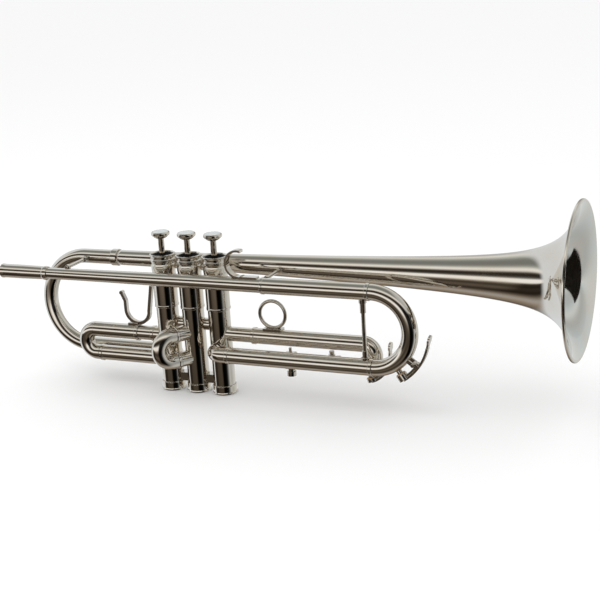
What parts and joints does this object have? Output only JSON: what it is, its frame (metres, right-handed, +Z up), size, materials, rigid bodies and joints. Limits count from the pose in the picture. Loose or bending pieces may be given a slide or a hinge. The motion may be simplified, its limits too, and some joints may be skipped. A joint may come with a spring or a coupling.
{
  "type": "piston trumpet",
  "caption": "Plated piston trumpet with finger buttons, a flared bell, sliding tuning crooks with a thumb saddle and finger ring, and sprung water keys; no mouthpiece fitted.",
  "frame": {"origin": "centre of the mouthpiece receiver's mouth, on the leadpipe axis", "axes": "+X along the leadpipe towards the bell, +Z up along the valves, +Y to the player's left"},
  "size_m": [0.495, 0.123, 0.169],
  "materials": {
    "plated_metal": "polished nickel plate over brass",
    "piston_alloy": "honed nickel alloy",
    "pearl": "polished mother of pearl inlay",
    "felt": "pressed black felt",
    "cork": "cut natural cork",
    "spring_steel": "drawn spring wire",
    "brass": "machined brass"
  },
  "bodies": {
    "horn": {"mouthpiece_receiver": "plated_metal", "leadpipe": "plated_metal", "leadpipe_sleeve": "plated_metal", "main_lower_sleeve": "plated_metal", "main_sleeve_brace": "plated_metal", "bell_flare": "plated_metal", "bell_ferrule": "plated_metal", "bell_bow": "plated_metal", "bell_branch": "plated_metal", "bell_braces": "plated_metal", "finger_hook": "plated_metal", "upper_casings": "plated_metal", "lower_casing_1": "plated_metal", "lower_casing_2": "plated_metal", "lower_casing_3": "plated_metal", "valve_crossovers": "plated_metal", "casing_bridges": "plated_metal", "top_caps": "plated_metal", "bottom_caps": "plated_metal", "dish_felts": "felt", "stem_felts": "felt", "valve_guides": "brass", "first_slide_fixed_leg": "plated_metal", "first_slide_fixed_sleeve": "plated_metal", "second_slide_sleeves": "plated_metal", "third_slide_fixed_leg": "plated_metal", "third_slide_fixed_sleeve": "plated_metal", "third_slide_stop_post": "plated_metal", "lyre_holder": "plated_metal"},
    "valve_1": {"piston_1": "piston_alloy", "stem_1": "plated_metal", "button_1": "plated_metal", "button_pearl_1": "pearl", "valve_spring_1": "spring_steel"},
    "valve_2": {"piston_2": "piston_alloy", "stem_2": "plated_metal", "button_2": "plated_metal", "button_pearl_2": "pearl", "valve_spring_2": "spring_steel"},
    "valve_3": {"piston_3": "piston_alloy", "stem_3": "plated_metal", "button_3": "plated_metal", "button_pearl_3": "pearl", "valve_spring_3": "spring_steel"},
    "main_slide": {"main_slide_legs": "plated_metal", "main_slide_bow": "plated_metal", "main_key_axle": "plated_metal"},
    "main_water_key": {"main_key_lever": "plated_metal", "main_key_cork": "cork"},
    "first_slide": {"first_slide_tubes": "plated_metal", "first_slide_bow": "plated_metal", "first_slide_saddle": "plated_metal"},
    "second_slide": {"second_slide_bow": "plated_metal"},
    "third_slide": {"third_slide_tubes": "plated_metal", "third_slide_bow": "plated_metal", "third_slide_ring": "plated_metal", "third_key_axle": "plated_metal"},
    "third_water_key": {"third_key_lever": "plated_metal", "third_key_cork": "cork"},
    "lyre_thumb_screw": {"lyre_screw": "plated_metal"}
  },
  "joints": [
    {"name": "valve_1_press", "type": "slide", "parent": "horn", "child": "valve_1", "axis": [0, 0, -1], "range_m": [0, 0.0165], "stiffness_N_per_m": 150, "springref_m": -0.014, "deforming": ["valve_spring_1"]},
    {"name": "valve_2_press", "type": "slide", "parent": "horn", "child": "valve_2", "axis": [0, 0, -1], "range_m": [0, 0.0165], "stiffness_N_per_m": 150, "springref_m": -0.014, "deforming": ["valve_spring_2"]},
    {"name": "valve_3_press", "type": "slide", "parent": "horn", "child": "valve_3", "axis": [0, 0, -1], "range_m": [0, 0.0165], "stiffness_N_per_m": 150, "springref_m": -0.014, "deforming": ["valve_spring_3"]},
    {"name": "main_slide_pull", "type": "slide", "parent": "horn", "child": "main_slide", "axis": [1, 0, 0], "range_m": [0, 0.045]},
    {"name": "main_water_key_press", "type": "hinge", "parent": "main_slide", "child": "main_water_key", "pos_m": [0.37452, 0, -0.05584], "axis": [0, -1, 0], "range_deg": [0, 12], "stiffness_Nm_per_rad": 0.05, "springref_deg": -34.38},
    {"name": "first_slide_pull", "type": "slide", "parent": "horn", "child": "first_slide", "axis": [-1, 0, 0], "range_m": [0, 0.02]},
    {"name": "second_slide_pull", "type": "slide", "parent": "horn", "child": "second_slide", "axis": [-0.5736, -0.8192, 0], "range_m": [0, 0.006]},
    {"name": "third_slide_pull", "type": "slide", "parent": "horn", "child": "third_slide", "axis": [1, 0, 0], "range_m": [0, 0.028]},
    {"name": "third_water_key_press", "type": "hinge", "parent": "third_slide", "child": "third_water_key", "pos_m": [0.34328, 0.0186, -0.06992], "axis": [0, -1, 0], "range_deg": [0, 12], "stiffness_Nm_per_rad": 0.05, "springref_deg": -34.38},
    {"name": "lyre_screw_turn", "type": "hinge", "parent": "horn", "child": "lyre_thumb_screw", "pos_m": [0.262, 0.0186, -0.0782], "axis": [0, 0, -1], "continuous": true}
  ]
}
